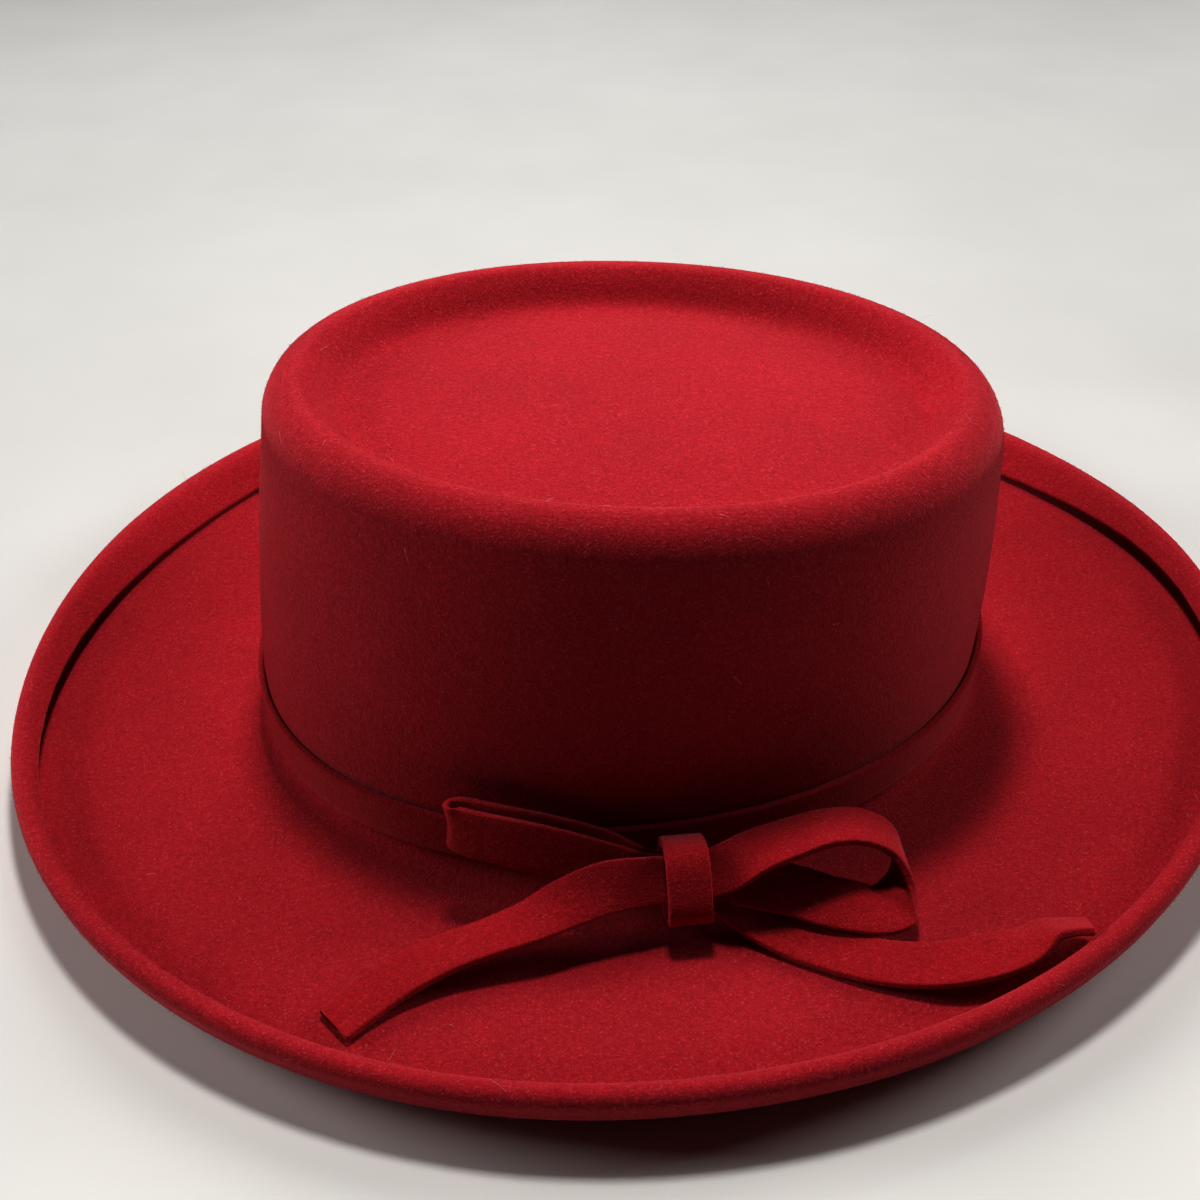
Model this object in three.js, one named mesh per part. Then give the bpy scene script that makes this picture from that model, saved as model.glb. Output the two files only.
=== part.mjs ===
// Red wool-felt hat: flat-topped crown with a recessed oval tip, wide brim rolled up and inward at
// its edge, a felt band round the crown and a felt bow tied in front.
// Millimetres, +Z up. The origin is on the surface the hat stands on, under the middle of its
// outline; +X is to the right of someone who faces the bow, and the bow's side faces -Y.
import * as THREE from 'three';

const FELT = 2.0;
const COLUMNS = 52;

// Crown: outside half-axes and turn of the oval at its base and at its shoulder.
const BASE = { a: 104.0, b: 81.7, x: 0, y: 0, turn: 5.4, power: 2.11 };
const SHOULDER = { a: 95.5, b: 73.6, x: 3.0, y: -0.7, turn: -5.4, power: 2.06 };
const RIM_TOP = 101;
const RIM_SLOPE = { x: -0.04, y: -0.01 };
const WALL_STRAIGHT_TO = 23;
const BRIM_FILLET = 6;

// Crown rim, felt centre line: inset from the shoulder and drop below the rim's highest line.
const RIM = [
  { inset: 1.0, drop: 10.3 },
  { inset: 1.7, drop: 6.9 },
  { inset: 3.7, drop: 3.7 },
  { inset: 6.7, drop: 1.7 },
  { inset: 10.3, drop: 1.0 },
  { inset: 12.0, drop: 2.0 },
  { inset: 14.4, drop: 4.6 },
  { inset: 16.7, drop: 7.9 },
  { inset: 19.3, drop: 9.8 },
  { inset: 24.0, drop: 10.3 },
];
const TIP_RINGS = [{ share: 0.55, drop: 9.8 }];
const TIP_DROP = 9.4;

// Brim: the flat ring the hat stands on ends this far from the crown wall.
const FLAT_RING = 20;
const BRIM_EDGE = { a: 175.8, b: 154.5, x: 1.3, y: -0.2, turn: 2.1, power: 2.02 };

// Round the brim every 30 degrees from +X: how far the edge reaches beyond its oval, how high the
// felt lies at the foot of the roll, and how far the roll is closed (0 a hook, 1 folded right over).
const EDGE = [
  { reach: 0.5, foot: 9.4, closed: 0.45 },
  { reach: -0.1, foot: 6.2, closed: 0.95 },
  { reach: 0.0, foot: 6.2, closed: 1 },
  { reach: 0.0, foot: 6.8, closed: 1 },
  { reach: 0.1, foot: 7.7, closed: 1 },
  { reach: 0.0, foot: 6.7, closed: 0.95 },
  { reach: -0.4, foot: 4.7, closed: 0.4 },
  { reach: 0.1, foot: 5.6, closed: 0.05 },
  { reach: 0.3, foot: 5.3, closed: 0 },
  { reach: 0.1, foot: 6.4, closed: 0 },
  { reach: -0.3, foot: 5.8, closed: 0 },
  { reach: -0.3, foot: 9.7, closed: 0.15 },
];

// Section of the roll, felt centre line: distance in from the outermost line and rise above the foot.
const ROLL_HOOK = [
  { inward: 16.0, rise: 0.0 },
  { inward: 10.0, rise: 0.0 },
  { inward: 5.4, rise: 0.5 },
  { inward: 2.5, rise: 2.2 },
  { inward: 1.1, rise: 4.6 },
  { inward: 0.7, rise: 6.8 },
  { inward: 0.3, rise: 8.9 },
  { inward: 0.3, rise: 10.4 },
  { inward: 1.2, rise: 11.4 },
  { inward: 2.6, rise: 11.4 },
  { inward: 3.7, rise: 10.6 },
];
const ROLL_FOLDED = [
  { inward: 16.0, rise: 0.0 },
  { inward: 9.0, rise: 0.0 },
  { inward: 4.5, rise: 0.6 },
  { inward: 1.3, rise: 2.8 },
  { inward: 0.0, rise: 6.0 },
  { inward: 1.2, rise: 9.2 },
  { inward: 4.0, rise: 11.4 },
  { inward: 7.2, rise: 11.2 },
  { inward: 10.2, rise: 8.6 },
  { inward: 12.6, rise: 5.6 },
  { inward: 14.8, rise: 3.0 },
];

// Band: clear of the wall and of the curve into the brim.
const BAND = { clearance: 0.35, thick: 1.8, bottom: 6.8, top: 20, edge: 0.4 };

// Bow: strips of one width. Each row places the middle of the strip; lean is the angle of the strip's
// width above the level, measured towards the crown, and wide is the share of full width there.
// Where the strip coils over, swing turns the width about the upright and skew is the share of its
// slant to the path that it keeps; both are nothing where not given.
const STRIP = { wide: 12.4, thick: 2.0, edge: 0.45, perStation: 2 };
const LOOP_LEFT = [
  { x: 1.5, y: -94.3, z: 12.9, lean: 52, wide: 0.88 },
  { x: -6.0, y: -94.2, z: 14.2, lean: 56, wide: 0.93 },
  { x: -14.0, y: -93.6, z: 17.6, lean: 61, wide: 1 },
  { x: -24.0, y: -92.0, z: 21.6, lean: 64, wide: 1 },
  { x: -36.0, y: -90.0, z: 25.2, lean: 67, wide: 1 },
  { x: -44.5, y: -87.6, z: 26.4, lean: 69, wide: 1 },
  { x: -49.6, y: -85.2, z: 27.0, lean: 71, wide: 0.97 },
  { x: -50.2, y: -83.4, z: 27.2, lean: 72, wide: 0.95 },
  { x: -47.0, y: -83.4, z: 27.2, lean: 71, wide: 0.97 },
  { x: -38.0, y: -86.3, z: 26.2, lean: 69, wide: 1 },
  { x: -27.0, y: -88.4, z: 23.4, lean: 66, wide: 1 },
  { x: -16.0, y: -89.9, z: 19.0, lean: 62, wide: 1 },
  { x: -6.0, y: -91.4, z: 12.9, lean: 56, wide: 0.93 },
  { x: 1.5, y: -92.0, z: 11.4, lean: 52, wide: 0.88 },
];
const LOOP_RIGHT = [
  { x: 8.5, y: -98.5, z: 17.5, lean: 50, wide: 0.88 },
  { x: 14.5, y: -98.4, z: 20.0, lean: 28, wide: 0.95 },
  { x: 22.0, y: -96.6, z: 22.8, lean: 5, wide: 1 },
  { x: 31.0, y: -95.3, z: 25.0, lean: -3, wide: 1 },
  { x: 38.5, y: -94.2, z: 26.2, lean: -8, wide: 1 },
  { x: 46.0, y: -93.4, z: 25.2, lean: -8, wide: 1 },
  { x: 52.2, y: -93.0, z: 21.9, lean: -4, wide: 1 },
  { x: 56.4, y: -93.6, z: 18.2, lean: 0, wide: 1, swing: 0, skew: 0.3 },
  { x: 58.4, y: -96.8, z: 14.6, lean: 0, wide: 1.04, swing: 0, skew: 0.8 },
  { x: 57.8, y: -101.8, z: 11.6, lean: 2, wide: 1.08, swing: -10, skew: 1 },
  { x: 55.4, y: -105.6, z: 10.2, lean: 6, wide: 1.1, swing: -24, skew: 1 },
  { x: 50.4, y: -107.6, z: 10.6, lean: 13, wide: 1.04, swing: -20, skew: 0.6 },
  { x: 44.5, y: -106.6, z: 11.4, lean: 21, wide: 1 },
  { x: 38.0, y: -104.4, z: 11.8, lean: 26, wide: 1 },
  { x: 31.0, y: -101.2, z: 12.4, lean: 30, wide: 1 },
  { x: 21.0, y: -98.6, z: 13.8, lean: 38, wide: 1 },
  { x: 14.0, y: -97.3, z: 15.5, lean: 46, wide: 0.95 },
  { x: 8.5, y: -96.3, z: 15.4, lean: 51, wide: 0.88 },
];
const TAIL_LEFT = [
  { x: 1.5, y: -98.5, z: 17.5, lean: 51, wide: 0.88 },
  { x: -6.0, y: -99.2, z: 18.2, lean: 48, wide: 0.94 },
  { x: -15.0, y: -99.8, z: 17.8, lean: 42, wide: 1 },
  { x: -24.0, y: -101.4, z: 15.6, lean: 30, wide: 0.97 },
  { x: -33.0, y: -103.8, z: 12.8, lean: 8, wide: 0.95 },
  { x: -43.0, y: -105.6, z: 10.4, lean: -6, wide: 0.97 },
  { x: -54.0, y: -108.2, z: 8.9, lean: -8, wide: 1 },
  { x: -65.0, y: -113.2, z: 8.2, lean: -4, wide: 0.98 },
  { x: -72.0, y: -118.2, z: 8.0, lean: -2, wide: 0.93 },
  { x: -78.5, y: -123.6, z: 8.0, lean: 0, wide: 0.86 },
];
const TAIL_RIGHT = [
  { x: 8.5, y: -93.9, z: 13.0, lean: 50, wide: 0.88 },
  { x: 13.0, y: -95.4, z: 11.3, lean: 43, wide: 1 },
  { x: 19.0, y: -100.8, z: 7.7, lean: 24, wide: 1 },
  { x: 27.0, y: -107.2, z: 5.7, lean: 8, wide: 1 },
  { x: 36.0, y: -113.6, z: 6.2, lean: -2, wide: 1 },
  { x: 48.0, y: -120.6, z: 8.4, lean: -5, wide: 1 },
  { x: 60.0, y: -124.4, z: 11.0, lean: -5, wide: 1 },
  { x: 71.0, y: -124.2, z: 12.1, lean: -5, wide: 1 },
  { x: 79.5, y: -122.8, z: 12.8, lean: -15, wide: 0.98 },
  { x: 86.0, y: -120.0, z: 14.0, lean: -33, wide: 0.95 },
  { x: 91.0, y: -120.0, z: 14.9, lean: -40, wide: 0.92 },
  { x: 95.5, y: -120.8, z: 15.6, lean: -40, wide: 0.88 },
];

// Knot: a strip wrapped once round the middle of the bow; its loop is an upright oval leaning back.
const KNOT = { x: 4.8, y: -96.2, z: 14.0, long: 10.4, deep: 10, wide: 10.6, lean: 51.5, power: 3 };
const KNOT_STATIONS = 28;

const radians = THREE.MathUtils.degToRad;

function ovalPoint(oval, shrink, angle) {
  const a = oval.a - shrink;
  const b = oval.b - shrink;
  const c = Math.cos(angle);
  const s = Math.sin(angle);
  const px = a * Math.sign(c) * Math.abs(c) ** (2 / oval.power);
  const py = b * Math.sign(s) * Math.abs(s) ** (2 / oval.power);
  const turn = radians(oval.turn);
  return new THREE.Vector2(
    oval.x + px * Math.cos(turn) - py * Math.sin(turn),
    oval.y + px * Math.sin(turn) + py * Math.cos(turn),
  );
}

function between(ovalLow, ovalHigh, share) {
  const mixed = {};
  for (const key of Object.keys(ovalLow)) {
    mixed[key] = THREE.MathUtils.lerp(ovalLow[key], ovalHigh[key], share);
  }
  return mixed;
}

// Smooth value round the brim from the table's rows, one of its columns.
function roundBrim(column, angle) {
  const step = (2 * Math.PI) / EDGE.length;
  const place = ((angle / step) % EDGE.length + EDGE.length) % EDGE.length;
  const row = Math.floor(place);
  const t = place - row;
  const at = (shift) => EDGE[(row + shift + EDGE.length) % EDGE.length][column];
  const slopeHere = (at(1) - at(-1)) / 2;
  const slopeNext = (at(2) - at(0)) / 2;
  const rise = at(1) - at(0);
  return at(0) + t * (slopeHere + t * (3 * rise - 2 * slopeHere - slopeNext
    + t * (slopeHere + slopeNext - 2 * rise)));
}

// Felt centre line of the hat body down one column, from the tip to the cut edge of the brim.
function bodyColumn(angle) {
  const half = FELT / 2;
  const line = [];
  const rimHeight = (p) => RIM_TOP + RIM_SLOPE.x * p.x + RIM_SLOPE.y * p.y;
  const innermost = RIM[RIM.length - 1];
  for (const ring of TIP_RINGS) {
    const edge = ovalPoint(SHOULDER, innermost.inset, angle);
    const p = new THREE.Vector2(SHOULDER.x, SHOULDER.y).lerp(edge, ring.share);
    line.push(new THREE.Vector3(p.x, p.y, rimHeight(p) - ring.drop));
  }
  for (const row of [...RIM].reverse()) {
    const p = ovalPoint(SHOULDER, row.inset, angle);
    line.push(new THREE.Vector3(p.x, p.y, rimHeight(p) - row.drop));
  }
  const top = line[line.length - 1].z;
  for (const share of [0.34, 0.68, 1]) {
    const oval = between(SHOULDER, BASE, share);
    const bulge = 0.8 * Math.sin(Math.PI * share);
    const p = ovalPoint(oval, half - bulge, angle);
    line.push(new THREE.Vector3(p.x, p.y, THREE.MathUtils.lerp(top, WALL_STRAIGHT_TO, share)));
  }
  for (const turn of [0, 30, 60, 90]) {
    const out = BRIM_FILLET * (1 - Math.cos(radians(turn)));
    const p = ovalPoint(BASE, half - out, angle);
    const z = half + BRIM_FILLET * (1 - Math.sin(radians(turn)));
    line.push(new THREE.Vector3(p.x, p.y, z));
  }
  const flat = ovalPoint(BASE, half - FLAT_RING, angle);
  line.push(new THREE.Vector3(flat.x, flat.y, half));
  const reach = roundBrim('reach', angle);
  const foot = roundBrim('foot', angle);
  const closed = THREE.MathUtils.clamp(roundBrim('closed', angle), 0, 1);
  const rollStart = ovalPoint(BRIM_EDGE, ROLL_HOOK[0].inward - reach, angle);
  for (const share of [0.36, 0.7]) {
    const p = flat.clone().lerp(rollStart, share);
    const z = half + (foot - half) * share * share * (2 - share);
    line.push(new THREE.Vector3(p.x, p.y, z));
  }
  ROLL_HOOK.forEach((hook, i) => {
    const inward = THREE.MathUtils.lerp(hook.inward, ROLL_FOLDED[i].inward, closed);
    const rise = THREE.MathUtils.lerp(hook.rise, ROLL_FOLDED[i].rise, closed);
    const p = ovalPoint(BRIM_EDGE, inward - reach, angle);
    line.push(new THREE.Vector3(p.x, p.y, foot + rise));
  });
  return line;
}

// The two faces of the felt: the centre line moved half a thickness to either side of itself.
function feltFaces(line, outward) {
  const half = FELT / 2;
  const flatness = (v) => v.x * outward.x + v.y * outward.y;
  return line.map((p, i) => {
    const before = line[Math.max(i - 1, 0)];
    const after = line[Math.min(i + 1, line.length - 1)];
    const along = after.clone().sub(before);
    const run = flatness(along);
    const length = Math.hypot(run, along.z);
    const out = -along.z / length;
    const up = run / length;
    const shift = new THREE.Vector3(outward.x * out * half, outward.y * out * half, up * half);
    return { upper: p.clone().add(shift), lower: p.clone().sub(shift) };
  });
}

function gridMesh(rings, first, last) {
  const positions = [];
  for (const ring of rings) {
    for (const p of ring) {
      positions.push(p.x, p.y, p.z);
    }
  }
  const around = rings[0].length;
  const index = [];
  for (let r = 0; r + 1 < rings.length; r += 1) {
    for (let i = 0; i < around; i += 1) {
      const next = (i + 1) % around;
      const here = r * around;
      const below = here + around;
      index.push(here + i, below + i, below + next);
      index.push(here + i, below + next, here + next);
    }
  }
  if (first) {
    const top = positions.length / 3;
    positions.push(first.x, first.y, first.z, last.x, last.y, last.z);
    const end = (rings.length - 1) * around;
    for (let i = 0; i < around; i += 1) {
      const next = (i + 1) % around;
      index.push(top, i, next);
      index.push(top + 1, end + next, end + i);
    }
  } else {
    const end = (rings.length - 1) * around;
    for (let i = 0; i < around; i += 1) {
      const next = (i + 1) % around;
      index.push(end + i, i, next);
      index.push(end + i, next, end + next);
    }
  }
  const geometry = new THREE.BufferGeometry();
  geometry.setAttribute('position', new THREE.Float32BufferAttribute(positions, 3));
  geometry.setIndex(index);
  return geometry;
}

function hatBody() {
  const columns = [];
  for (let i = 0; i < COLUMNS; i += 1) {
    const angle = (2 * Math.PI * i) / COLUMNS;
    const line = bodyColumn(angle);
    const ahead = ovalPoint(BASE, 0, angle + 0.01);
    const behind = ovalPoint(BASE, 0, angle - 0.01);
    const outward = new THREE.Vector2(ahead.y - behind.y, behind.x - ahead.x).normalize();
    columns.push(feltFaces(line, outward));
  }
  const rows = columns[0].length;
  const rings = [];
  for (let r = 0; r < rows; r += 1) {
    rings.push(columns.map((column) => column[r].upper));
  }
  for (let r = rows - 1; r >= 0; r -= 1) {
    rings.push(columns.map((column) => column[r].lower));
  }
  const tipZ = RIM_TOP + RIM_SLOPE.x * SHOULDER.x + RIM_SLOPE.y * SHOULDER.y - TIP_DROP;
  const first = new THREE.Vector3(SHOULDER.x, SHOULDER.y, tipZ + FELT / 2);
  const last = new THREE.Vector3(SHOULDER.x, SHOULDER.y, tipZ - FELT / 2);
  return gridMesh(rings, first, last);
}

// Felt strip section, corners eased: across is along the width, through along the thickness.
function stripSection(wide, thick, edge) {
  const w = wide / 2;
  const t = thick / 2;
  return [
    { across: -w + edge, through: t },
    { across: -w, through: t - edge },
    { across: -w, through: -t + edge },
    { across: -w + edge, through: -t },
    { across: w - edge, through: -t },
    { across: w, through: -t + edge },
    { across: w, through: t - edge },
    { across: w - edge, through: t },
  ];
}

function crownBand() {
  const rings = [];
  const middle = BAND.clearance + BAND.thick / 2;
  const section = stripSection(BAND.top - BAND.bottom, BAND.thick, BAND.edge);
  for (let i = 0; i < COLUMNS; i += 1) {
    const angle = (2 * Math.PI * i) / COLUMNS;
    const wave = 0.5 * Math.cos(2 * angle) + 0.5 * Math.sin(2 * angle);
    rings.push(section.map((corner) => {
      const p = ovalPoint(BASE, -middle + corner.through, angle);
      const share = 0.5 + corner.across / (BAND.top - BAND.bottom);
      const z = (BAND.bottom + BAND.top) / 2 + corner.across + wave * share;
      return new THREE.Vector3(p.x, p.y, z);
    }));
  }
  return gridMesh(rings, null, null);
}

function columnCurve(stations, column) {
  const points = stations.map((row, i) => new THREE.Vector3(i, row[column] ?? 0, 0));
  return new THREE.CatmullRomCurve3(points, false, 'catmullrom', 0.5);
}

// A flat felt strip bent along its stations, closed at both cut ends.
function bentStrip(stations) {
  const centre = new THREE.CatmullRomCurve3(
    stations.map((row) => new THREE.Vector3(row.x, row.y, row.z)),
    false,
    'catmullrom',
    0.5,
  );
  const leans = columnCurve(stations, 'lean');
  const widths = columnCurve(stations, 'wide');
  const swings = columnCurve(stations, 'swing');
  const skews = columnCurve(stations, 'skew');
  const steps = (stations.length - 1) * STRIP.perStation;
  const rings = [];
  for (let k = 0; k <= steps; k += 1) {
    const t = k / steps;
    const p = centre.getPoint(t);
    const along = centre.getTangent(t);
    const lean = radians(leans.getPoint(t).y);
    const swing = radians(swings.getPoint(t).y);
    const level = Math.cos(lean);
    const across = new THREE.Vector3(level * Math.sin(swing), level * Math.cos(swing), Math.sin(lean));
    const squaring = 1 - skews.getPoint(t).y;
    across.addScaledVector(along, -across.dot(along) * squaring).normalize();
    const through = new THREE.Vector3().crossVectors(along, across).normalize();
    const section = stripSection(STRIP.wide * widths.getPoint(t).y, STRIP.thick, STRIP.edge);
    rings.push(section.map((corner) => p.clone()
      .addScaledVector(across, corner.across)
      .addScaledVector(through, corner.through)));
  }
  const middle = (ring) => ring.reduce((sum, p) => sum.add(p), new THREE.Vector3())
    .divideScalar(ring.length);
  return gridMesh(rings, middle(rings[0]), middle(rings[rings.length - 1]));
}

function knot() {
  const rings = [];
  const lean = radians(KNOT.lean);
  const up = new THREE.Vector3(0, Math.cos(lean), Math.sin(lean));
  const front = new THREE.Vector3(0, -Math.sin(lean), Math.cos(lean));
  const middle = new THREE.Vector3(KNOT.x, KNOT.y, KNOT.z);
  const half = STRIP.thick / 2;
  for (let k = 0; k < KNOT_STATIONS; k += 1) {
    const angle = (2 * Math.PI * k) / KNOT_STATIONS;
    const loop = { a: KNOT.long, b: KNOT.deep, x: 0, y: 0, turn: 0, power: KNOT.power };
    const section = stripSection(KNOT.wide, STRIP.thick, STRIP.edge);
    rings.push(section.map((corner) => {
      const p = ovalPoint(loop, half - corner.through, angle);
      return middle.clone()
        .addScaledVector(up, p.x)
        .addScaledVector(front, p.y)
        .add(new THREE.Vector3(corner.across, 0, 0));
    }));
  }
  return gridMesh(rings, null, null);
}

function outwardFacing(geometry) {
  const p = geometry.attributes.position;
  const index = geometry.index.array;
  const corner = (i) => new THREE.Vector3().fromBufferAttribute(p, i);
  let volume = 0;
  for (let i = 0; i < index.length; i += 3) {
    volume += corner(index[i]).dot(corner(index[i + 1]).cross(corner(index[i + 2])));
  }
  if (volume < 0) {
    for (let i = 0; i < index.length; i += 3) {
      [index[i + 1], index[i + 2]] = [index[i + 2], index[i + 1]];
    }
  }
  geometry.computeVertexNormals();
  return geometry;
}

function feltPiece(name, geometry, color) {
  const material = new THREE.MeshStandardMaterial({ color, roughness: 0.95, metalness: 0 });
  const mesh = new THREE.Mesh(outwardFacing(geometry), material);
  mesh.name = name;
  return mesh;
}

const hat = new THREE.Group();
hat.name = 'felt_hat';
hat.add(feltPiece('hat_body', hatBody(), 0xb81826));
hat.add(feltPiece('crown_band', crownBand(), 0xb01622));
hat.add(feltPiece('bow_loop_left', bentStrip(LOOP_LEFT), 0xb81826));
hat.add(feltPiece('bow_loop_right', bentStrip(LOOP_RIGHT), 0xb81826));
hat.add(feltPiece('bow_tail_left', bentStrip(TAIL_LEFT), 0xb81826));
hat.add(feltPiece('bow_tail_right', bentStrip(TAIL_RIGHT), 0xb81826));
hat.add(feltPiece('bow_knot', knot(), 0xb81826));

// Set the hat down: its lowest face on the surface, its outline centred on the origin.
const outline = new THREE.Box3().setFromObject(hat);
const middle = outline.getCenter(new THREE.Vector3());
for (const piece of hat.children) {
  piece.geometry.translate(-middle.x, -middle.y, -outline.min.z);
}

export default hat;
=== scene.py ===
"""Looks of the red wool-felt hat: fine felt surfaces, nap, stray hairs, floor, light and camera.

Tables are in millimetres about the hat's own layout point, as the CAD part has them; every mesh is
moved into the row frame and made metres at the end. +Z is up and the bow's side faces -Y.
"""

import math

import bpy
import numpy as np
from mathutils import Matrix, Vector


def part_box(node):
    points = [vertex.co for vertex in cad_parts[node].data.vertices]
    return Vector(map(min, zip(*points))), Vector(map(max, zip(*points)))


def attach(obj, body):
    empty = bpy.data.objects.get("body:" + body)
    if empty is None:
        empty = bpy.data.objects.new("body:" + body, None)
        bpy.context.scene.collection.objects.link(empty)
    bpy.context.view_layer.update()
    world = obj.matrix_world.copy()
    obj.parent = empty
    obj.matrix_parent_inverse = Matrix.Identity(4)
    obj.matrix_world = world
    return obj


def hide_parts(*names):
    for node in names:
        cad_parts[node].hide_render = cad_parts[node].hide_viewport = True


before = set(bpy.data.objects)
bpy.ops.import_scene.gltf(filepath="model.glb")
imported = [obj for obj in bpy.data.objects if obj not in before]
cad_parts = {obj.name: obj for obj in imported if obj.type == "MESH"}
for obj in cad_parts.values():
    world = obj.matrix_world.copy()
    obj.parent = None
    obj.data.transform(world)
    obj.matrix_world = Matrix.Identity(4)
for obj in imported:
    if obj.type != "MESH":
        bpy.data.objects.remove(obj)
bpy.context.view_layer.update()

MM = 0.001
BODY = "root"


def table(columns, *rows):
    """Named columns of numbers, one array each."""
    values = np.array(rows, float)
    return {name: values[:, i] for i, name in enumerate(columns.split())}


# ---------------------------------------------------------------- sizes, in millimetres
FELT = 2.0
BASE = {"a": 104.0, "b": 81.7, "x": 0.0, "y": 0.0, "turn": 5.4, "power": 2.11}
SHOULDER = {"a": 95.5, "b": 73.6, "x": 3.0, "y": -0.7, "turn": -5.4, "power": 2.06}
BRIM_EDGE = {"a": 175.8, "b": 154.5, "x": 1.3, "y": -0.2, "turn": 2.1, "power": 2.02}
RIM_TOP = 101.0
RIM_SLOPE = (-0.04, -0.01)
TIP_DROP = 9.4
WALL_STRAIGHT_TO = 23.0
WALL_BULGE = 0.8
BRIM_FILLET = 6.0
FLAT_RING = 20.0

# Where rows of the body lie between its named lines: over the recessed tip, down the wall, round the
# fillet in degrees, and out over the brim.
TIP_SHARES = (0.04, 0.14, 0.28, 0.42, 0.56, 0.7, 0.85)
TIP_DISH = 1.5
WALL_SHARES = (0.34, 0.68, 1.0)
FILLET_TURNS = (0, 30, 60, 90)
BRIM_SHARES = (0.36, 0.7)

# Crown rim from the wall to the recessed tip, felt centre line: inside the shoulder's oval, and below
# the rim's top.
RIM = table(
    "inset drop",
    (1.0, 10.3),
    (1.7, 6.9),
    (3.7, 3.7),
    (6.7, 1.7),
    (10.3, 1.0),
    (12.0, 2.0),
    (14.4, 4.6),
    (16.7, 7.9),
    (19.3, 9.8),
    (24.0, 10.3),
)

# Round the brim every 30 degrees from +X: how far the edge lies outside its oval, how high the felt is
# at the foot of the roll, and how far the roll is folded over, from 0 for the open hook to 1.
EDGE = table(
    "reach foot closed",
    (0.5, 9.4, 0.45),
    (-0.1, 6.2, 0.95),
    (0.0, 6.2, 1.0),
    (0.0, 6.8, 1.0),
    (0.1, 7.7, 1.0),
    (0.0, 6.7, 0.95),
    (-0.4, 4.7, 0.4),
    (0.1, 5.6, 0.05),
    (0.3, 5.3, 0.0),
    (0.1, 6.4, 0.0),
    (-0.3, 5.8, 0.0),
    (-0.3, 9.7, 0.15),
)

# Section of the rolled edge, felt centre line: open hook, and folded right over.
ROLL = table(
    "hook_in hook_up fold_in fold_up",
    (16.0, 0.0, 16.0, 0.0),
    (10.0, 0.0, 9.0, 0.0),
    (5.4, 0.5, 4.5, 0.6),
    (2.5, 2.2, 1.3, 2.8),
    (1.1, 4.6, 0.0, 6.0),
    (0.7, 6.8, 1.2, 9.2),
    (0.3, 8.9, 4.0, 11.4),
    (0.3, 10.4, 7.2, 11.2),
    (1.2, 11.4, 10.2, 8.6),
    (2.6, 11.4, 12.6, 5.6),
    (3.7, 10.6, 14.8, 3.0),
)

BAND = {"clearance": 0.35, "thick": 1.8, "bottom": 6.8, "top": 20.0, "corner": 0.45, "wave": 0.5}
STRIP = {"wide": 12.4, "thick": 2.0, "corner": 0.55}

# Cut ends of a strip: the share of its size that each ring keeps, and how far it stands out.
STRIP_END = ((0.985, 0.28), (0.94, 0.45))

# Cut edge of the brim: turns round the felt's thickness in degrees, and how far it bulges out.
EDGE_TURNS = (20, 50, 90, 130, 160)
EDGE_BULGE = 0.75

# Unevenness of the cut edges: random seed, size and waves round the piece. Each bow strip has its own seed.
BRIM_UNEVEN = {"seed": 11, "size": 0.18, "waves": (37, 61, 83, 97)}
BAND_UNEVEN = {"seed": 5, "size": 0.12, "waves": (9, 17, 31, 53)}
KNOT_UNEVEN = {"seed": 3, "size": 0.16, "waves": (2, 3, 5, 7, 11)}
STRIP_UNEVEN = {"size": 0.14, "waves": (5, 9, 14, 23, 31)}

# Bow strips: middle of the strip, lean of its width above the level, share of full width, and where
# the strip coils over, swing of its width about the upright and the share of its slant kept.
STRIP_COLUMNS = "x y z lean wide swing skew"
LOOP_LEFT = table(
    STRIP_COLUMNS,
    (1.5, -94.3, 12.9, 52, 0.88, 0, 0),
    (-6.0, -94.2, 14.2, 56, 0.93, 0, 0),
    (-14.0, -93.6, 17.6, 61, 1, 0, 0),
    (-24.0, -92.0, 21.6, 64, 1, 0, 0),
    (-36.0, -90.0, 25.2, 67, 1, 0, 0),
    (-44.5, -87.6, 26.4, 69, 1, 0, 0),
    (-49.6, -85.2, 27.0, 71, 0.97, 0, 0),
    (-50.2, -83.4, 27.2, 72, 0.95, 0, 0),
    (-47.0, -83.4, 27.2, 71, 0.97, 0, 0),
    (-38.0, -86.3, 26.2, 69, 1, 0, 0),
    (-27.0, -88.4, 23.4, 66, 1, 0, 0),
    (-16.0, -89.9, 19.0, 62, 1, 0, 0),
    (-6.0, -91.4, 12.9, 56, 0.93, 0, 0),
    (1.5, -92.0, 11.4, 52, 0.88, 0, 0),
)
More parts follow.
